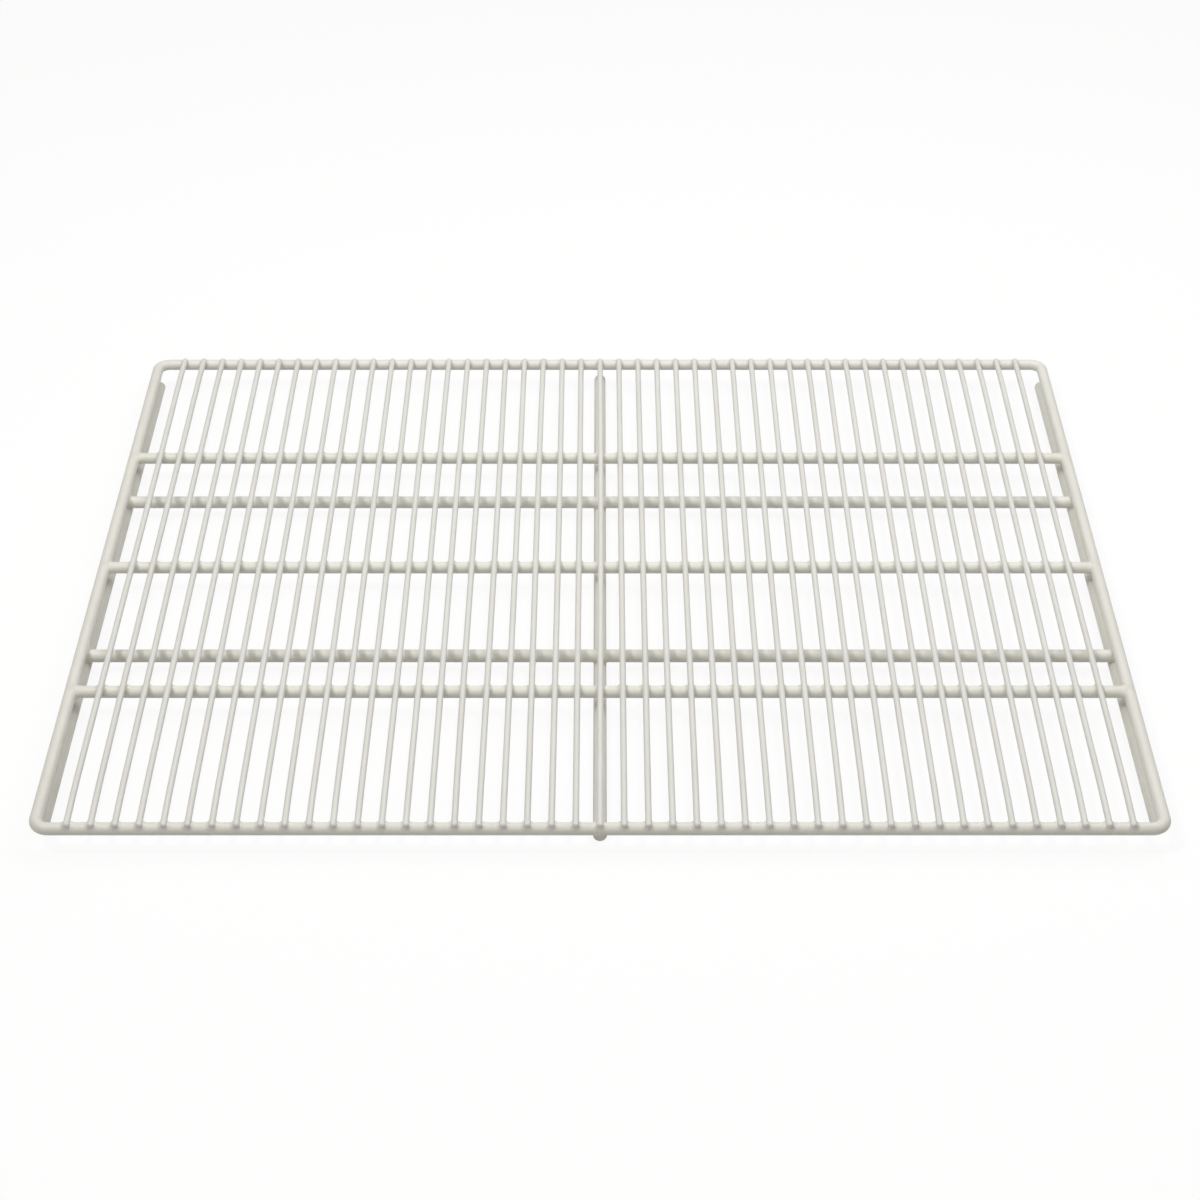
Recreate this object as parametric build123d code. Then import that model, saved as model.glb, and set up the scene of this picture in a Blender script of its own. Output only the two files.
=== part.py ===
from build123d import *
import os

# Welded wire shelf for a refrigerator, in millimetres.
# X runs along the width, Y from the front to the back, Z up.
# The origin is under the middle of the shelf, on the plane that its lowest rods rest on.

# Outside of the frame
shelf_width = 650.0
shelf_depth = 530.0

# Round stock, measured over its coating
frame_rod_diameter = 7.5
upper_rod_diameter = 7.5
lower_rod_diameter = 8.0
deck_wire_diameter = 3.8

# Frame hoop, bent from one rod
corner_bend_radius = 8.0  # to the rod's centre line

# Deck wires, from the front rail to the back rail
deck_wire_count = 45
deck_side_gap = 19.3  # from a side rail's centre line to the nearest wire's
deck_wire_front_inset = 0.2  # behind the frame's front edge
deck_wire_back_inset = 4.0  # in front of the frame's back edge

# Cross rods at the frame's own height, butted between the side rails
upper_rod_spacing = 133.0

# Cross rods under the side rails
lower_rod_spacing = 175.0
lower_rod_end_inset = 1.0  # inside the frame's side edges

# Rods from front to back under the lower cross rods
centre_rod_front_inset = 12.5
centre_rod_back_inset = 2.0
side_rod_front_inset = 20.0
side_rod_back_inset = 12.0

# Welds and cut ends
weld_set = 1.3  # how far two crossing rods are pressed into each other
butt_weld_set = 1.2  # how far a rod's end is pressed into the side of a rail
wire_weld_gap = 0.05  # under a deck wire, filled by its spot welds
rod_end_chamfer = 0.8

# Places that follow from the sizes above
frame_x = (shelf_width - frame_rod_diameter) / 2
frame_y = (shelf_depth - frame_rod_diameter) / 2
runner_x = (shelf_width - lower_rod_diameter) / 2
runner_z = lower_rod_diameter / 2
lower_cross_z = runner_z + lower_rod_diameter - weld_set
frame_z = lower_cross_z + (lower_rod_diameter + frame_rod_diameter) / 2 - weld_set
deck_seat_z = frame_z + frame_rod_diameter / 2
upper_cross_z = deck_seat_z - upper_rod_diameter / 2
deck_wire_z = deck_seat_z + deck_wire_diameter / 2 + wire_weld_gap
deck_wire_pitch = 2 * (frame_x - deck_side_gap) / (deck_wire_count - 1)

along_width = (1, 0, 0)
along_depth = (0, 1, 0)


def straight_rod(diameter, start, direction, length):
    """A straight round rod, cut square at both ends."""
    return Solid.make_cylinder(diameter / 2, length, Plane(origin=start, z_dir=direction))


def end_chamfered(rod):
    """The rod with both cut ends broken, so that they don't scratch."""
    return chamfer(rod.edges().filter_by(GeomType.CIRCLE), rod_end_chamfer)


def pressed_onto(piece, *neighbours):
    """The piece with a seat where each neighbour is welded into it."""
    for neighbour in neighbours:
        piece = piece - neighbour
    return piece.solid()


def frame_hoop():
    """The outer frame: one rod bent round four corners and closed by a butt weld."""
    corners = RectangleRounded(2 * frame_x, 2 * frame_y, corner_bend_radius)
    path = (Pos(0, 0, frame_z) * corners).wire()
    section = Plane(origin=path @ 0, z_dir=path % 0) * Circle(frame_rod_diameter / 2)
    return sweep(section, path).solid()


def upper_cross_rod(y, hoop):
    """A rod at the frame's height, its ends hollowed against the two side rails."""
    half_length = frame_x - frame_rod_diameter / 2 + butt_weld_set
    rod = straight_rod(upper_rod_diameter, (-half_length, y, upper_cross_z), along_width, 2 * half_length)
    return pressed_onto(rod, hoop)


def lower_cross_rod(y, hoop):
    """A rod under both side rails, with a seat for each of them."""
    half_length = shelf_width / 2 - lower_rod_end_inset
    start = (-half_length, y, lower_cross_z)
    rod = straight_rod(lower_rod_diameter, start, along_width, 2 * half_length)
    return pressed_onto(end_chamfered(rod), hoop)


def runner_rod(x, front_inset, back_inset, cross_rods):
    """A rod from front to back under the lower cross rods, with a seat for each of them."""
    start = (x, front_inset - shelf_depth / 2, runner_z)
    length = shelf_depth - front_inset - back_inset
    rod = straight_rod(lower_rod_diameter, start, along_depth, length)
    return pressed_onto(end_chamfered(rod), *cross_rods)


def deck_wire(x):
    """A thin wire across the frame, lying on its two rails and the upper cross rods."""
    start = (x, deck_wire_front_inset - shelf_depth / 2, deck_wire_z)
    length = shelf_depth - deck_wire_front_inset - deck_wire_back_inset
    return straight_rod(deck_wire_diameter, start, along_depth, length)


def shelf():
    """Every piece of the shelf by name."""
    hoop = frame_hoop()
    pieces = {"frame_hoop": hoop}

    for place, name in enumerate(("front", "middle", "back"), start=-1):
        pieces[f"upper_cross_rod_{name}"] = upper_cross_rod(place * upper_rod_spacing, hoop)

    lower_rods = {}
    for side, name in ((-1, "front"), (1, "back")):
        lower_rods[f"lower_cross_rod_{name}"] = lower_cross_rod(side * lower_rod_spacing / 2, hoop)
    pieces.update(lower_rods)

    under = list(lower_rods.values())
    pieces["centre_rod"] = runner_rod(0, centre_rod_front_inset, centre_rod_back_inset, under)
    for side, name in ((-1, "left"), (1, "right")):
        rod = runner_rod(side * runner_x, side_rod_front_inset, side_rod_back_inset, under)
        pieces[f"lower_side_rod_{name}"] = rod

    for number in range(deck_wire_count):
        x = deck_side_gap - frame_x + number * deck_wire_pitch
        pieces[f"deck_wire_{number + 1:02d}"] = deck_wire(x)
    return pieces


os.makedirs("parts", exist_ok=True)
for name, piece in shelf().items():
    export_step(piece, f"parts/{name}.step")
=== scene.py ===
"""Looks of a welded, coated refrigerator wire shelf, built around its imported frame.

Every rod and wire is a numpy surface swept along its centre line. Where two of them are
welded, the coating pools in the corner between them, and both surfaces swell towards each
other there. All lengths are in metres, in the frame's own axes.
"""

import logging
import math
from dataclasses import dataclass
from enum import Enum

import bpy
import numpy as np
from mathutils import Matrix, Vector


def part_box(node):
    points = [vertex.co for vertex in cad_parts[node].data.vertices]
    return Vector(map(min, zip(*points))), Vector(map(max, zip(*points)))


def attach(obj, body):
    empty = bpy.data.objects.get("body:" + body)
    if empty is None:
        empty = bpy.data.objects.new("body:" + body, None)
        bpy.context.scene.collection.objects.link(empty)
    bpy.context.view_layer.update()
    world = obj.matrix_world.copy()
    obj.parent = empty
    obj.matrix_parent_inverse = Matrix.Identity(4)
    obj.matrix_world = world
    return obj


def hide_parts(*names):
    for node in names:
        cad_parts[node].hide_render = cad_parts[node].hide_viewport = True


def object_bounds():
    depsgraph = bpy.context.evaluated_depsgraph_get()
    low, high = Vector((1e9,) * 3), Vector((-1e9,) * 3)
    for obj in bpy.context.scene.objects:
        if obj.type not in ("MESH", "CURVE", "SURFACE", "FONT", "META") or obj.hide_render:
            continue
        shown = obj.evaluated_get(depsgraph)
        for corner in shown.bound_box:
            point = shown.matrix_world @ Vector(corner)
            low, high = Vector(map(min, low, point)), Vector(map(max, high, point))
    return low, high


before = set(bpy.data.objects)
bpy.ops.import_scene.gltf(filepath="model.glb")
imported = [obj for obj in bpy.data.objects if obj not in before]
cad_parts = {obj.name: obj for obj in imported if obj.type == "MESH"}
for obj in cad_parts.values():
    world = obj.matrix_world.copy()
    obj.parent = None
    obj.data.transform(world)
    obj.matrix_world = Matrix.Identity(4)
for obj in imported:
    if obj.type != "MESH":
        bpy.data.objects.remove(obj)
CAD_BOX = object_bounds()

LOG = logging.getLogger("wire_shelf")
BODY = "root"
MM = 0.001
UP = np.array([0.0, 0.0, 1.0])

SWELLING_ROUNDS = 6  # rounds in which a fillet's swelling is found
SWELLING_SHARE = 0.25  # largest swelling as a share of the weld's reach
END_RINGS = 5  # rings in the rounding of a cut end
END_FACE_SHARE = 0.86  # radius of the ring in an end face, as a share of the face's
END_MARGIN = 0.2 * MM  # least space between a cut end's rounding and the next ring
CUT_MARGIN = 0.02 * MM  # how much thinner than the rod a ring of a cut end is
RING_SHARE = 0.25  # least space between rings as a share of the step near welds
SECOND_BOW = 0.4  # size of the second wave of a bow as a share of the first
BEND_RINGS = 14  # rings in a bent corner, with both of its ends
HOOP_WELD_HALF = 5.4 * MM  # half of the length along a rail that has close rings at a weld
HOOP_WELD_NEAR = 15.0 * MM  # how far from a rail a rod that is welded to it may end
HOOP_TONE = 0.4  # place of the hoop in the coating's drift of colour
FIRST_SEED = 11  # seed that stands for the hoop, from which the others count on
CROSSING_LIMIT = 0.5  # largest cosine of the angle between rods that cross each other
DRIFT_SHARE = 0.30  # largest share of the shade colour in the drift from rod to rod
POOL_SHARE = 0.42  # share of the pool colour where the coating has gathered

Colour = tuple[float, float, float]


class Stock(Enum):
    """Kinds of round stock in the shelf, each with the start of its nodes' names."""

    DECK_WIRE = "deck_wire"
    UPPER_ROD = "upper_cross_rod"
    LOWER_ROD = "lower_cross_rod"
    CENTRE_ROD = "centre_rod"
    SIDE_ROD = "lower_side_rod"


class Side(Enum):
    """The four rails of the frame hoop, in the order in which its rod is bent."""

    FRONT = 0
    RIGHT = 1
    BACK = 2
    LEFT = 3


@dataclass(frozen=True)
class StockSizes:
    """How finely one kind of stock is drawn, and how its coating and cut ends look.

    Args:
        segments: Faces round the rod.
        ring_step: Space between rings away from the welds.
        weld_reach: How far from a neighbour's surface the coating starts to pool.
        weld_step: Space between rings near a weld.
        end_rounding: Rounding of the coating at the first cut end.
        far_rounding: Rounding of the coating at the other cut end.
        bow: Largest sideways bow of the rod.
        press: How far the rod's ends are pressed down into what they are welded to.
        press_reach: Length of an end that is bent down by the press.
    """

    segments: int
    ring_step: float
    weld_reach: float
    weld_step: float
    end_rounding: float
    far_rounding: float
    bow: float = 0.0
    press: float = 0.0
    press_reach: float = 22.0 * MM


RUNNER_SIZES = StockSizes(
    segments=32,
    ring_step=8.0 * MM,
    weld_reach=2.4 * MM,
    weld_step=0.8 * MM,
    end_rounding=1.1 * MM,
    far_rounding=1.1 * MM,
)
STOCK_SIZES: dict[Stock, StockSizes] = {
    Stock.DECK_WIRE: StockSizes(
        segments=16,
        ring_step=9.0 * MM,
        weld_reach=1.6 * MM,
        weld_step=0.8 * MM,
        end_rounding=1.3 * MM,
        far_rounding=1.6 * MM,
        bow=0.45 * MM,
        press=1.3 * MM,
    ),
    Stock.UPPER_ROD: StockSizes(
        segments=32,
        ring_step=7.0 * MM,
        weld_reach=3.4 * MM,
        weld_step=0.6 * MM,
        end_rounding=0.6 * MM,
        far_rounding=0.6 * MM,
    ),
    Stock.LOWER_ROD: StockSizes(
        segments=32,
        ring_step=8.0 * MM,
        weld_reach=2.4 * MM,
        weld_step=0.8 * MM,
        end_rounding=0.9 * MM,
        far_rounding=0.9 * MM,
    ),
    Stock.CENTRE_ROD: RUNNER_SIZES,
    Stock.SIDE_ROD: RUNNER_SIZES,
}
HOOP_SIZES = StockSizes(
    segments=32,
    ring_step=8.0 * MM,
    weld_reach=2.6 * MM,
    weld_step=0.6 * MM,
    end_rounding=0.0,
    far_rounding=0.0,
)


@dataclass(frozen=True)
class Axis:
    """Centre line of one straight rod.

    Args:
        start: One end of the centre line.
        direction: Unit vector along the rod.
        length: Length of the rod.
        radius: Radius over the coating.
    """

    start: np.ndarray
    direction: np.ndarray
    length: float
    radius: float

    @classmethod
    def of_node(cls, node: str) -> "Axis":
        """Reads a straight rod's centre line from the box of its CAD node.

        Args:
            node: Name of the CAD node.

        Returns:
            The centre line, along the box's longest side.
        """
        low, high = (np.array(corner, float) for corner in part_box(node))
        extent = high - low
        along = int(np.argmax(extent))
        direction = np.eye(3)[along]
        start = (low + high) / 2
        start[along] = low[along]
        radius = float(np.median(extent)) / 2
        return cls(start, direction, float(extent[along]), radius)

    @property
    def end(self) -> np.ndarray:
        """The other end of the centre line.

        Returns:
            Its point.
        """
        return self.start + self.length * self.direction

    def pressed(self, depth: float) -> "Axis":
        """The same rod pressed down, with its round ends inside the cut ends.

        Args:
            depth: How far down it goes.

        Returns:
            The lower and shorter centre line.
        """
        start = self.start + self.radius * self.direction - depth * UP
        return Axis(start, self.direction, self.length - 2 * self.radius, self.radius)

    def gaps(self, points: np.ndarray) -> np.ndarray:
        """Distance of points from this rod's surface.

        Args:
            points: Array of points, the last axis holding x, y and z.

        Returns:
            Distances, below zero inside the rod.
        """
        offset = points - self.start
        reach = np.clip(offset @ self.direction, 0.0, self.length)
        nearest = offset - reach[..., None] * self.direction
        return np.linalg.norm(nearest, axis=-1) - self.radius


@dataclass(frozen=True)
class NoiseBand:
    """Noise over the coating, and the band of its values that shows.

    Args:
        scale: Waves per metre.
        detail: Octaves of finer noise.
        low: Noise at and below which the result is at_low.
        high: Noise at and above which the result is at_high.
        at_low: Least result.
        at_high: Largest result.
    """

    scale: float
    detail: float
    low: float
    high: float
    at_low: float
    at_high: float

    def value(self, tree: bpy.types.NodeTree) -> bpy.types.NodeSocket:
        """Adds the noise to a node tree.

        Args:
            tree: Node tree that needs it.

        Returns:
            The result's socket.
        """
        source = noise(tree, self.scale, self.detail)
        return mapped(tree, source, self.low, self.high, self.at_low, self.at_high)


PATCHES = NoiseBand(scale=26.0, detail=3.0, low=0.35, high=0.70, at_low=0.0, at_high=0.45)
SPECKS = NoiseBand(scale=900.0, detail=1.0, low=0.62, high=0.80, at_low=0.0, at_high=0.35)
MARKS = NoiseBand(scale=60.0, detail=4.0, low=0.30, high=0.75, at_low=-0.06, at_high=0.12)
SAGS = NoiseBand(scale=130.0, detail=2.0, low=0.0, high=1.0, at_low=0.0, at_high=1.0)
ORANGE_PEEL = NoiseBand(scale=800.0, detail=2.0, low=0.0, high=1.0, at_low=0.0, at_high=0.25)


@dataclass(frozen=True)
class CoatingFinish:
    """A satin coating over steel, with slow tone changes, warm pools and fine relief.

    Args:
        name: Name of the material.
        light: Colour of the coating.
        shade: Colour that it drifts to in patches.
        pool: Colour where the coating has gathered.
        roughness: Middle value of the roughness.
        peel: Height of the relief.
        relief_strength: How much of the relief shows.
        refraction: Refractive index.
        gloss: Share of the clear layer on top.
        gloss_roughness: Roughness of that layer.
    """

    name: str
    light: Colour
    shade: Colour
    pool: Colour
    roughness: float
    peel: float
    relief_strength: float = 0.35
    refraction: float = 1.48
    gloss: float = 0.12
    gloss_roughness: float = 0.32

    def material(self) -> bpy.types.Material:
        """Makes the material.

        Returns:
            A procedural material that reads object coordinates and two mesh attributes.
        """
        material = bpy.data.materials.new(self.name)
        material.use_nodes = True
        tree = material.node_tree
        shader = tree.nodes["Principled BSDF"]
        shader.inputs["Metallic"].default_value = 0.0
        shader.inputs["IOR"].default_value = self.refraction
        shader.inputs["Coat Weight"].default_value = self.gloss
        shader.inputs["Coat Roughness"].default_value = self.gloss_roughness

        tone = group_node(tree, coating_tone_group())
        tone.inputs["Light"].default_value = (*self.light, 1.0)
        tone.inputs["Shade"].default_value = (*self.shade, 1.0)
        tone.inputs["Pool"].default_value = (*self.pool, 1.0)
        tree.links.new(tone.outputs["Color"], shader.inputs["Base Color"])

        sheen = group_node(tree, coating_sheen_group())
        sheen.inputs["Roughness"].default_value = self.roughness
        tree.links.new(sheen.outputs["Roughness"], shader.inputs["Roughness"])

        relief = group_node(tree, coating_relief_group())
        bump = tree.nodes.new("ShaderNodeBump")
        bump.inputs["Strength"].default_value = self.relief_strength
        bump.inputs["Distance"].default_value = self.peel
        tree.links.new(relief.outputs["Height"], bump.inputs["Height"])
        tree.links.new(bump.outputs["Normal"], shader.inputs["Normal"])
        return material


def group_node(tree: bpy.types.NodeTree, group: bpy.types.NodeTree) -> bpy.types.Node:
    """Adds a node that uses a shared node group.

    Args:
        tree: Node tree of the material.
        group: The shared group.

    Returns:
        The new node.
    """
    node = tree.nodes.new("ShaderNodeGroup")
    node.node_tree = group
    return node


def new_group(name: str) -> tuple[bpy.types.NodeTree, bool]:
    """Finds or starts a shared shader node group.

    Args:
        name: Name of the group.

    Returns:
        The group, and whether it is new and still empty.
    """
    if name in bpy.data.node_groups:
        return bpy.data.node_groups[name], False
    return bpy.data.node_groups.new(name, "ShaderNodeTree"), True


def noise(tree: bpy.types.NodeTree, scale: float, detail: float) -> bpy.types.NodeSocket:
    """Adds a noise texture in object coordinates.

    Args:
        tree: Node tree that gets the texture.
        scale: Waves per metre.
        detail: Octaves of finer noise.

    Returns:
        The texture's value socket.
    """
    place = tree.nodes.new("ShaderNodeTexCoord")
    texture = tree.nodes.new("ShaderNodeTexNoise")
    texture.inputs["Scale"].default_value = scale
    texture.inputs["Detail"].default_value = detail
    tree.links.new(place.outputs["Object"], texture.inputs["Vector"])
    return texture.outputs["Fac"]


def mapped(
    tree: bpy.types.NodeTree,
    source: bpy.types.NodeSocket,
    low: float,
    high: float,
    to_low: float,
    to_high: float,
) -> bpy.types.NodeSocket:
    """Maps a value from one range to another and clamps it.

    Args:
        tree: Node tree that holds the source.
        source: The value.
        low: Value that becomes to_low.
        high: Value that becomes to_high.
        to_low: Result at low.
        to_high: Result at high.

    Returns:
        The mapped value's socket.
    """
    node = tree.nodes.new("ShaderNodeMapRange")
    sockets = ("From Min", "From Max", "To Min", "To Max")
    for socket, number in zip(sockets, (low, high, to_low, to_high)):
        node.inputs[socket].default_value = number
    tree.links.new(source, node.inputs["Value"])
    return node.outputs["Result"]


def mixed(
    tree: bpy.types.NodeTree,
    amount: bpy.types.NodeSocket,
    first: bpy.types.NodeSocket,
    second: bpy.types.NodeSocket,
) -> bpy.types.NodeSocket:
    """Mixes two colours.

    Args:
        tree: Node tree that holds the sockets.
        amount: Share of the second colour.
        first: First colour.
        second: Second colour.

    Returns:
        The mixed colour's socket.
    """
    node = tree.nodes.new("ShaderNodeMix")
    node.data_type = "RGBA"
    tree.links.new(amount, node.inputs["Factor"])
    tree.links.new(first, node.inputs["A"])
    tree.links.new(second, node.inputs["B"])
    return node.outputs["Result"]


def attribute(tree: bpy.types.NodeTree, name: str) -> bpy.types.NodeSocket:
    """Reads a number stored on the mesh.

    Args:
        tree: Node tree that needs it.
        name: Name of the mesh attribute.

    Returns:
        The number's socket.
    """
    node = tree.nodes.new("ShaderNodeAttribute")
    node.attribute_name = name
    return node.outputs["Fac"]


def added(tree: bpy.types.NodeTree, *terms: bpy.types.NodeSocket) -> bpy.types.NodeSocket:
    """Adds values.

    Args:
        tree: Node tree that holds the values.
        terms: Two or more values.

    Returns:
        The sum's socket.
    """
    total = terms[0]
    for term in terms[1:]:
        node = tree.nodes.new("ShaderNodeMath")
        node.operation = "ADD"
        tree.links.new(total, node.inputs[0])
        tree.links.new(term, node.inputs[1])
        total = node.outputs[0]
    return total


def seen_rays(tree: bpy.types.NodeTree) -> bpy.types.NodeSocket:
    """Tells the rays that show the background from those that only carry light.

    Args:
        tree: Node tree that needs it.

    Returns:
        A socket that is one for the camera's rays, for reflections and for what is seen through.
    """
    path = tree.nodes.new("ShaderNodeLightPath")
    kinds = ("Is Camera Ray", "Is Glossy Ray", "Is Transmission Ray")
    return added(tree, *(path.outputs[kind] for kind in kinds))


def coating_tone_group() -> bpy.types.NodeTree:
    """Colour of the coating: slow patches, a drift from rod to rod and warm pools at welds.

    Returns:
        The shared node group.
    """
    tree, empty = new_group("coating_tone")
    if not empty:
        return tree
    for name in ("Light", "Shade", "Pool"):
        tree.interface.new_socket(name, in_out="INPUT", socket_type="NodeSocketColor")
    tree.interface.new_socket("Color", in_out="OUTPUT", socket_type="NodeSocketColor")
    given = tree.nodes.new("NodeGroupInput")
    result = tree.nodes.new("NodeGroupOutput")
    drift = mapped(tree, attribute(tree, "tone"), 0.0, 1.0, 0.0, DRIFT_SHARE)
    amount = added(tree, PATCHES.value(tree), SPECKS.value(tree), drift)
    colour = mixed(tree, amount, given.outputs["Light"], given.outputs["Shade"])
    pooled = mapped(tree, attribute(tree, "pool"), 0.0, 1.0, 0.0, POOL_SHARE)
    colour = mixed(tree, pooled, colour, given.outputs["Pool"])
    tree.links.new(colour, result.inputs["Color"])
    return tree


def coating_sheen_group() -> bpy.types.NodeTree:
    """Roughness of the coating, with handling marks that dull it in places.

    Returns:
        The shared node group.
    """
    tree, empty = new_group("coating_sheen")
    if not empty:
        return tree
    tree.interface.new_socket("Roughness", in_out="INPUT", socket_type="NodeSocketFloat")
    tree.interface.new_socket("Roughness", in_out="OUTPUT", socket_type="NodeSocketFloat")
    given = tree.nodes.new("NodeGroupInput")
    result = tree.nodes.new("NodeGroupOutput")
    dulled = added(tree, given.outputs["Roughness"], MARKS.value(tree))
    tree.links.new(dulled, result.inputs["Roughness"])
    return tree


def coating_relief_group() -> bpy.types.NodeTree:
    """Height of the coating: sags some millimetres long and fine orange peel.

    Returns:
        The shared node group.
    """
    tree, empty = new_group("coating_relief")
    if not empty:
        return tree
    tree.interface.new_socket("Height", in_out="OUTPUT", socket_type="NodeSocketFloat")
    result = tree.nodes.new("NodeGroupOutput")
    height = added(tree, SAGS.value(tree), ORANGE_PEEL.value(tree))
    tree.links.new(height, result.inputs["Height"])
    return tree


WIRE_COATING = CoatingFinish(
    name="wire_coating",
    light=(0.765, 0.758, 0.716),
    shade=(0.705, 0.696, 0.645),
    pool=(0.705, 0.694, 0.63),
    roughness=0.42,
    peel=0.10 * MM,
)
ROD_COATING = CoatingFinish(
    name="rod_coating",
    light=(0.78, 0.771, 0.708),
    shade=(0.715, 0.704, 0.63),
    pool=(0.705, 0.69, 0.61),
    roughness=0.42,
    peel=0.14 * MM,
)


class CoatedRod:
    """A straight coated rod or wire, welded to its neighbours."""

    def __init__(
        self, node: str, stock: Stock, neighbours: list[Axis], finish: CoatingFinish, seed: int
    ) -> None:
        """Prepares one rod.

        Args:
            node: CAD node that the rod stands for.
            stock: Kind of round stock.
            neighbours: Centre lines of the rods that it is welded to.
            finish: Its coating.
            seed: Seed of its small irregularities.
        """
        self.node = node
        self.sizes = STOCK_SIZES[stock]
        self.axis = Axis.of_node(node)
        self.neighbours = neighbours
        self.finish = finish
        self.chance = np.random.default_rng(seed)

    def weld_places(self) -> np.ndarray:
        """Distances along the rod at which it passes the neighbours that cross it.

        Returns:
            One distance for each of them.
        """
        crossing = [
            other.start
            for other in self.neighbours
            if abs(other.direction @ self.axis.direction) < CROSSING_LIMIT
        ]
        places = (np.array(crossing) - self.axis.start) @ self.axis.direction
        return np.clip(places, 0.0, self.axis.length)

    def stations(self) -> np.ndarray:
        """Distances along the rod at which it has a ring, close together near welds and ends.

        Returns:
            Rising distances from one cut end to the other.
        """
        length, sizes = self.axis.length, self.sizes
        plain = np.linspace(0.0, length, max(2, int(length / sizes.ring_step)))
        reach = sizes.weld_reach + max([self.axis.radius] + [n.radius for n in self.neighbours])
        spread = np.arange(-reach, reach + sizes.weld_step / 2, sizes.weld_step)
        welds = (self.weld_places()[:, None] + spread).ravel()
        turn = 1.0 - np.cos(np.linspace(0.0, np.pi / 2, END_RINGS))
        first, last = sizes.end_rounding * turn, length - sizes.far_rounding * turn[::-1]
        inner = np.concatenate([plain, welds])
        inside = (inner > first[-1] + END_MARGIN) & (inner < last[0] - END_MARGIN)
        inner = thinned(np.sort(inner[inside]), sizes.weld_step)
        return np.concatenate([first, inner, last])

    def centre_line(self, stations: np.ndarray) -> np.ndarray:
        """Points of the centre line: a straight line with a slow sideways bow and pressed ends.

        The bow is the sum of one and two half waves along the rod, with small random sizes. Each
        end sinks by the press times a bell curve of the distance from it.

        Args:
            stations: Distances along the rod.

        Returns:
            One point for each distance.
        """
        across = np.cross(UP, self.axis.direction)
        share = stations / self.axis.length
        sizes = self.chance.uniform(-1.0, 1.0, 2) * (self.sizes.bow, SECOND_BOW * self.sizes.bow)
        bow = sizes[0] * np.sin(np.pi * share) + sizes[1] * np.sin(2 * np.pi * share)
        to_end = np.minimum(stations, self.axis.length - stations)
        sink = self.sizes.press * np.exp(-((to_end / self.sizes.press_reach) ** 2))
        line = self.axis.start + stations[:, None] * self.axis.direction
        return line + bow[:, None] * across - sink[:, None] * UP

    def surface(self) -> tuple[np.ndarray, np.ndarray, np.ndarray]:
        """The rod's surface as a function of the place along it and the angle round it.

        A point lies at the centre line plus the radius times the unit vector at the angle. The
        radius falls along a quarter circle at each cut end, where the coating has gathered too,
        and grows near a weld.

        Returns:
            Points by ring and angle, the share of pooled coating at each, and the two end points.
        """
        stations = self.stations()
        near = 2 * stations < self.axis.length
        rounding = np.where(near, self.sizes.end_rounding, self.sizes.far_rounding)
        to_end = np.where(near, stations, self.axis.length - stations)
        inward = np.clip(rounding - to_end, 0.0, rounding)
        radii = self.axis.radius - rounding + np.sqrt(rounding**2 - inward**2)
        stations = np.concatenate([[0.0], stations, [self.axis.length]])
        radii = np.concatenate([[END_FACE_SHARE * radii[0]], radii, [END_FACE_SHARE * radii[-1]]])

        line = self.centre_line(stations)
        first = np.cross(UP, self.axis.direction)
        second = np.cross(self.axis.direction, first)
        angles = np.linspace(0.0, 2 * np.pi, self.sizes.segments, endpoint=False)
        rays = np.cos(angles)[:, None] * first + np.sin(angles)[:, None] * second
        points = line[:, None, :] + radii[:, None, None] * rays
        points, pool = coated(points, rays[None], self.neighbours, self.sizes.weld_reach)
        cut = radii < self.axis.radius - CUT_MARGIN
        return points, np.maximum(pool, cut[:, None]), line[[0, -1]]

    def build(self) -> bpy.types.Object:
        """Makes the rod's mesh, which stands for its CAD node.

        Returns:
            The new object.
        """
        points, pool, poles = self.surface()
        tone = float(self.chance.uniform(0.0, 1.0))
        return piece_from_grid(self.node, points, pool, tone, poles, self.finish)


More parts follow.
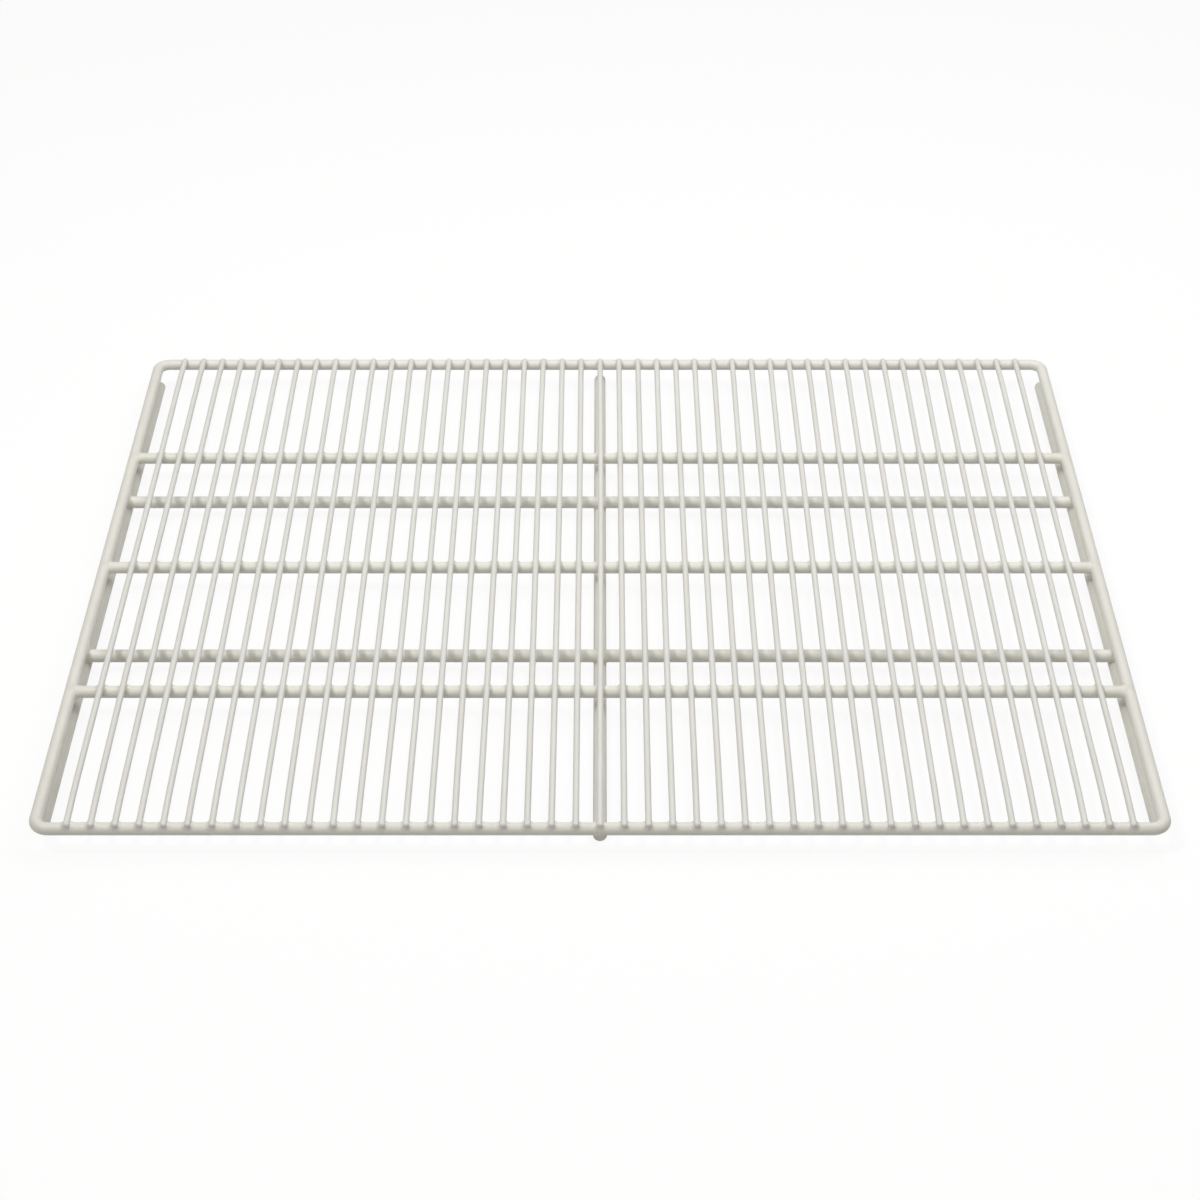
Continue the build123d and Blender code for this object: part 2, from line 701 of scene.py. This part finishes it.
class FrameHoop:
    """The outer frame: one rod bent round four corners and closed."""

    def __init__(self, node: str, bend_radius: float, finish: CoatingFinish) -> None:
        """Reads the hoop's sizes from its CAD node.

        Args:
            node: CAD node of the hoop.
            bend_radius: Radius of its corners, to the rod's centre line.
            finish: Its coating.
        """
        self.node = node
        self.finish = finish
        self.sizes = HOOP_SIZES
        self.bend = bend_radius
        low, high = (np.array(corner, float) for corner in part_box(node))
        self.radius = (high[2] - low[2]) / 2
        self.height = (high[2] + low[2]) / 2
        self.half = (high[:2] - low[:2]) / 2 - self.radius

    def rail(self, side: Side) -> Axis:
        """Centre line of one straight side.

        Args:
            side: Which rail.

        Returns:
            Its centre line, between the two bends.
        """
        half_x, half_y = self.half
        rails = {
            Side.FRONT: ((-half_x + self.bend, -half_y), (1.0, 0.0), half_x),
            Side.RIGHT: ((half_x, -half_y + self.bend), (0.0, 1.0), half_y),
            Side.BACK: ((half_x - self.bend, half_y), (-1.0, 0.0), half_x),
            Side.LEFT: ((-half_x, half_y - self.bend), (0.0, -1.0), half_y),
        }
        place, direction, half = rails[side]
        start = np.array([*place, self.height])
        length = 2 * (half - self.bend)
        return Axis(start, np.array([*direction, 0.0]), length, self.radius)

    def centre_line(self, welded: list[Axis]) -> tuple[np.ndarray, np.ndarray]:
        """Points of the closed centre line: four straight rails and four quarter circles.

        Args:
            welded: Centre lines of the rods and wires that are welded to the hoop.

        Returns:
            The points, and the unit vector that points outwards at each.
        """
        lines, outward = [], []
        ends = np.array([end for axis in welded for end in (axis.start, axis.end)])
        step = self.sizes.weld_step
        spread = np.arange(-HOOP_WELD_HALF, HOOP_WELD_HALF + step / 2, step)
        for side in Side:
            rail = self.rail(side)
            normal = np.array([rail.direction[1], -rail.direction[0], 0.0])
            plain = np.linspace(0.0, rail.length, int(rail.length / self.sizes.ring_step))
            near = np.abs((ends - rail.start) @ normal) < HOOP_WELD_NEAR
            places = ((ends - rail.start) @ rail.direction)[near]
            welds = (places[:, None] + spread).ravel()
            welds = welds[(welds > 0.0) & (welds < rail.length)]
            stations = thinned(np.sort(np.concatenate([plain, welds])), step)
            lines.append(rail.start + stations[:, None] * rail.direction)
            outward.append(np.repeat(normal[None], len(stations), axis=0))

            turn = np.linspace(0.0, np.pi / 2, BEND_RINGS)[1:-1]
            rays = np.cos(turn)[:, None] * normal + np.sin(turn)[:, None] * rail.direction
            centre = rail.start + rail.length * rail.direction - self.bend * normal
            lines.append(centre + self.bend * rays)
            outward.append(rays)
        return np.concatenate(lines), np.concatenate(outward)

    def build(self, welded: list[Axis]) -> bpy.types.Object:
        """Makes the hoop's mesh: a circle carried round the closed centre line.

        A point lies at the centre line plus the radius times the unit vector at an angle between
        outwards and upwards.

        Args:
            welded: Centre lines of the rods and wires that are welded to the hoop.

        Returns:
            The new object.
        """
        line, outward = self.centre_line(welded)
        angles = np.linspace(0.0, 2 * np.pi, self.sizes.segments, endpoint=False)
        across, rise = np.cos(angles)[None, :, None], np.sin(angles)[None, :, None]
        rays = rise * UP - across * outward[:, None, :]
        points = line[:, None, :] + self.radius * rays
        points, pool = coated(points, rays, welded, self.sizes.weld_reach)
        return piece_from_grid(self.node, points, pool, HOOP_TONE, None, self.finish)


def thinned(stations: np.ndarray, step: float) -> np.ndarray:
    """Leaves out the rings that lie close behind another.

    Args:
        stations: Rising distances along a rod.
        step: Space between rings near a weld.

    Returns:
        The distances that are left.
    """
    return stations[np.concatenate([[True], np.diff(stations) > RING_SHARE * step])]


def coated(
    points: np.ndarray, rays: np.ndarray, neighbours: list[Axis], reach: float
) -> tuple[np.ndarray, np.ndarray]:
    """Swells a surface towards the rods that are welded to it.

    The swelling is a quarter of the reach times the square of the nearness, which is one where
    the swollen surface is as near to the neighbour as to its own rod, and zero at the reach. The
    two depend on each other, so they are found in a few rounds. Two surfaces swollen in this way
    flow into each other as a fillet does.

    Args:
        points: Points of the surface.
        rays: Unit vectors out of the surface.
        neighbours: Centre lines of the welded rods.
        reach: Distance from a neighbour at which the swelling starts.

    Returns:
        The moved points, kept inside the frame's box, and the nearness at each.
    """
    swelling = np.zeros(points.shape[:-1])
    for _ in range(SWELLING_ROUNDS):
        moved = points + swelling[..., None] * rays
        gap = np.min([neighbour.gaps(moved) for neighbour in neighbours], axis=0)
        nearness = np.clip(1.0 - (gap - swelling) / reach, 0.0, 1.0)
        swelling = SWELLING_SHARE * reach * nearness**2
    low, high = (np.array(corner, float) for corner in CAD_BOX)
    return np.clip(points + swelling[..., None] * rays, low, high), nearness


def ring_faces(rings: int, segments: int, closed: bool) -> tuple[np.ndarray, np.ndarray]:
    """Faces between each ring of points and the next, and those of the two ends.

    Points are numbered ring by ring, and the middles of the two end faces come after them.

    Args:
        rings: Number of rings.
        segments: Points in each ring.
        closed: Whether the last ring is joined to the first, with no end faces.

    Returns:
        Point numbers of the four-sided faces and of the triangles.
    """
    index = np.arange(rings * segments).reshape(rings, segments)
    after = np.roll(index, -1, axis=1)
    following, onward = np.roll(index, -1, axis=0), np.roll(after, -1, axis=0)
    quads = np.stack([index, after, onward, following], axis=-1)
    if closed:
        return quads.reshape(-1, 4), np.zeros((0, 3), int)
    near_middle, far_middle = rings * segments, rings * segments + 1
    near = np.stack([np.full(segments, near_middle), after[0], index[0]], axis=-1)
    far = np.stack([np.full(segments, far_middle), index[-1], after[-1]], axis=-1)
    return quads[:-1].reshape(-1, 4), np.concatenate([near, far])


def mesh_from_faces(
    name: str, vertices: np.ndarray, quads: np.ndarray, fans: np.ndarray
) -> bpy.types.Mesh:
    """Makes a smooth mesh from whole arrays.

    Args:
        name: Name of the mesh.
        vertices: Its points.
        quads: Point numbers of its four-sided faces.
        fans: Point numbers of its triangles.

    Returns:
        The new mesh.
    """
    mesh = bpy.data.meshes.new(name)
    mesh.vertices.add(len(vertices))
    mesh.vertices.foreach_set("co", vertices.astype(np.float32).ravel())
    mesh.loops.add(quads.size + fans.size)
    corners = np.concatenate([quads.ravel(), fans.ravel()])
    mesh.loops.foreach_set("vertex_index", corners.astype(np.int32))
    mesh.polygons.add(len(quads) + len(fans))
    starts = np.concatenate([4 * np.arange(len(quads)), quads.size + 3 * np.arange(len(fans))])
    mesh.polygons.foreach_set("loop_start", starts.astype(np.int32))
    mesh.polygons.foreach_set("use_smooth", np.ones(len(starts), bool))
    mesh.update(calc_edges=True)
    return mesh


def piece_from_grid(
    node: str,
    points: np.ndarray,
    pool: np.ndarray,
    tone: float,
    poles: np.ndarray | None,
    finish: CoatingFinish,
) -> bpy.types.Object:
    """Makes a mesh from a grid of rings and lets it stand for a CAD node.

    Args:
        node: CAD node that the mesh replaces.
        points: Points by ring and angle.
        pool: Share of pooled coating at each point.
        tone: Place of this piece in the coating's drift of colour.
        poles: Middles of the two end faces, or None for a ring that closes on itself.
        finish: The coating.

    Returns:
        The new object.
    """
    rings, segments = points.shape[:2]
    quads, fans = ring_faces(rings, segments, closed=poles is None)
    vertices, pools = points.reshape(-1, 3), pool.ravel()
    if poles is not None:
        vertices = np.concatenate([vertices, poles])
        pools = np.concatenate([pools, np.ones(len(poles))])
    mesh = mesh_from_faces(f"{node}_coated", vertices, quads, fans)
    for kind, values in (("pool", pools), ("tone", np.full(len(vertices), tone))):
        stored = mesh.attributes.new(kind, "FLOAT", "POINT")
        stored.data.foreach_set("value", values.astype(np.float32))

    made = bpy.data.materials.get(finish.name)
    mesh.materials.append(made or finish.material())
    piece = bpy.data.objects.new(f"{node}_coated", mesh)
    bpy.context.scene.collection.objects.link(piece)
    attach(piece, BODY)
    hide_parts(node)
    return piece


class WireShelf:
    """All the pieces of the shelf, welded to each other."""

    def __init__(self, bend_radius: float = 8.0 * MM) -> None:
        """Finds the pieces of each kind in the frame.

        Args:
            bend_radius: Radius of the frame's corners.
        """
        self.hoop = FrameHoop("frame_hoop", bend_radius, ROD_COATING)
        names = sorted(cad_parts)
        self.nodes = {
            kind: [name for name in names if name.startswith(kind.value)] for kind in Stock
        }
        self.axes = {node: Axis.of_node(node) for nodes in self.nodes.values() for node in nodes}

    def axes_of(self, *kinds: Stock) -> list[Axis]:
        """Centre lines of all the rods of some kinds.

        Args:
            kinds: Kinds of stock.

        Returns:
            Their centre lines.
        """
        return [self.axes[node] for kind in kinds for node in self.nodes[kind]]

    def neighbours(self, kind: Stock) -> list[Axis]:
        """Centre lines of what the rods of a kind are welded to.

        Args:
            kind: Kind of stock.

        Returns:
            Centre lines of rods, wires and rails.
        """
        rails = {side: self.hoop.rail(side) for side in Side}
        sides = [rails[Side.LEFT], rails[Side.RIGHT]]
        runners = self.axes_of(Stock.CENTRE_ROD, Stock.SIDE_ROD)
        return {
            Stock.DECK_WIRE: [rails[Side.FRONT], rails[Side.BACK], *self.axes_of(Stock.UPPER_ROD)],
            Stock.UPPER_ROD: [*sides, *self.axes_of(Stock.DECK_WIRE)],
            Stock.LOWER_ROD: [*sides, *runners],
            Stock.CENTRE_ROD: self.axes_of(Stock.LOWER_ROD),
            Stock.SIDE_ROD: self.axes_of(Stock.LOWER_ROD),
        }[kind]

    def build(self) -> int:
        """Makes every piece.

        Returns:
            The number of pieces.
        """
        press = STOCK_SIZES[Stock.DECK_WIRE].press
        welded = [wire.pressed(press) for wire in self.axes_of(Stock.DECK_WIRE)]
        pieces = [self.hoop.build(welded + self.axes_of(Stock.UPPER_ROD, Stock.LOWER_ROD))]
        for kind in Stock:
            finish = WIRE_COATING if kind is Stock.DECK_WIRE else ROD_COATING
            near = self.neighbours(kind)
            for node in self.nodes[kind]:
                pieces.append(CoatedRod(node, kind, near, finish, FIRST_SEED + len(pieces)).build())
        faces = sum(len(piece.data.polygons) for piece in pieces)
        LOG.info("%d pieces with %d faces", len(pieces), faces)
        return len(pieces)


@dataclass(frozen=True)
class SoftLamp:
    """A square area lamp that points at the middle of the shelf.

    Args:
        name: Name of the lamp.
        place: Where it stands.
        size: Length of its side.
        power: Its power in watts.
        colour: Its colour.
    """

    name: str
    place: tuple[float, float, float]
    size: float
    power: float
    colour: Colour = (1.0, 1.0, 1.0)

    def build(self) -> bpy.types.Object:
        """Makes the lamp.

        Returns:
            The new object.
        """
        data = bpy.data.lights.new(self.name, "AREA")
        data.shape = "SQUARE"
        data.size = self.size
        data.energy = self.power
        data.color = self.colour
        lamp = bpy.data.objects.new(self.name, data)
        x, y, z = self.place
        lamp.location = self.place
        lamp.rotation_euler = (math.atan2(math.hypot(x, y), z), 0.0, math.atan2(x, -y))
        bpy.context.scene.collection.objects.link(lamp)
        return lamp


@dataclass(frozen=True)
class Studio:
    """Plain white studio: floor, soft lamps, pale surroundings and the camera.

    Args:
        floor_half: Half of the floor's side.
        floor_drop: How far the floor lies under the shelf.
        floor_colour: Colour of the floor.
        floor_glow: Share of plain white in what the camera sees of the floor.
        glow_strength: Strength of that white.
        surround: Strength of the light from all round.
        camera_place: Where the camera stands.
        camera_tilt: Tilt of the camera from straight down, in degrees.
        camera_lens: Focal length in millimetres.
        camera_sensor: Width of the sensor in millimetres.
        camera_far: Largest distance that the camera shows.
        lamps: The soft lamps.
    """

    floor_half: float = 9.0
    floor_drop: float = 0.2 * MM
    floor_colour: Colour = (0.50, 0.50, 0.49)
    floor_glow: float = 0.8
    glow_strength: float = 1.13
    surround: float = 0.13
    camera_place: tuple[float, float, float] = (0.0, -1.40198, 0.98102)
    camera_tilt: float = 54.786
    camera_lens: float = 78.738
    camera_sensor: float = 36.0
    camera_far: float = 50.0
    lamps: tuple[SoftLamp, ...] = (
        SoftLamp("key_lamp", (-1.40, -0.70, 2.95), 0.40, 34.0, (1.0, 0.985, 0.955)),
        SoftLamp("overhead_softbox", (0.0, 0.22, 0.80), 1.00, 3.2, (0.99, 0.995, 1.0)),
        SoftLamp("side_softbox", (0.85, 0.25, 1.55), 1.10, 9.0),
        SoftLamp("front_fill", (0.0, -4.00, 2.40), 3.00, 38.0, (1.0, 0.97, 0.90)),
    )

    def floor(self) -> bpy.types.Object:
        """Makes the floor, which shows white to the camera with the shelf's shadow on it.

        Returns:
            The floor.
        """
        material = bpy.data.materials.new("studio_floor")
        material.use_nodes = True
        tree = material.node_tree
        tree.nodes.clear()
        diffuse = tree.nodes.new("ShaderNodeBsdfDiffuse")
        diffuse.inputs["Color"].default_value = (*self.floor_colour, 1.0)
        glow = tree.nodes.new("ShaderNodeEmission")
        glow.inputs["Strength"].default_value = self.glow_strength
        mix = tree.nodes.new("ShaderNodeMixShader")
        output = tree.nodes.new("ShaderNodeOutputMaterial")
        share = mapped(tree, seen_rays(tree), 0.0, 1.0, 0.0, self.floor_glow)
        tree.links.new(share, mix.inputs["Fac"])
        tree.links.new(diffuse.outputs[0], mix.inputs[1])
        tree.links.new(glow.outputs[0], mix.inputs[2])
        tree.links.new(mix.outputs[0], output.inputs["Surface"])

        square = np.array([[-1, -1], [1, -1], [1, 1], [-1, 1]])
        corners = np.column_stack([self.floor_half * square, np.full(4, -self.floor_drop)])
        mesh = bpy.data.meshes.new("studio_floor")
        mesh.from_pydata(corners, [], [(0, 1, 2, 3)])
        mesh.materials.append(material)
        floor = bpy.data.objects.new("studio_floor", mesh)
        bpy.context.scene.collection.objects.link(floor)
        return floor

    def surroundings(self) -> bpy.types.World:
        """Makes the light from all round, which the camera sees as the white of the far floor.

        Returns:
            The world.
        """
        world = bpy.data.worlds.new("studio")
        world.use_nodes = True
        tree = world.node_tree
        background = tree.nodes["Background"]
        background.inputs["Color"].default_value = (1.0, 1.0, 1.0, 1.0)
        far_white = self.floor_glow * self.glow_strength
        strength = mapped(tree, seen_rays(tree), 0.0, 1.0, self.surround, far_white)
        tree.links.new(strength, background.inputs["Strength"])
        bpy.context.scene.world = world
        return world

    def camera(self) -> bpy.types.Object:
        """Makes the camera at the photograph's viewing angle.

        Returns:
            The camera.
        """
        data = bpy.data.cameras.new("camera")
        data.sensor_width = self.camera_sensor
        data.lens = self.camera_lens
        data.clip_end = self.camera_far
        camera = bpy.data.objects.new("camera", data)
        camera.location = self.camera_place
        camera.rotation_euler = (math.radians(self.camera_tilt), 0.0, 0.0)
        bpy.context.scene.collection.objects.link(camera)
        bpy.context.scene.camera = camera
        return camera

    def build(self) -> None:
        """Makes the whole studio."""
        self.floor()
        self.surroundings()
        for lamp in self.lamps:
            lamp.build()
        self.camera()
        bpy.context.scene.view_settings.view_transform = "Standard"


def main() -> None:
    """Builds the shelf and its studio."""
    logging.basicConfig(level=logging.INFO)
    WireShelf().build()
    Studio().build()


if __name__ == "__main__":
    main()
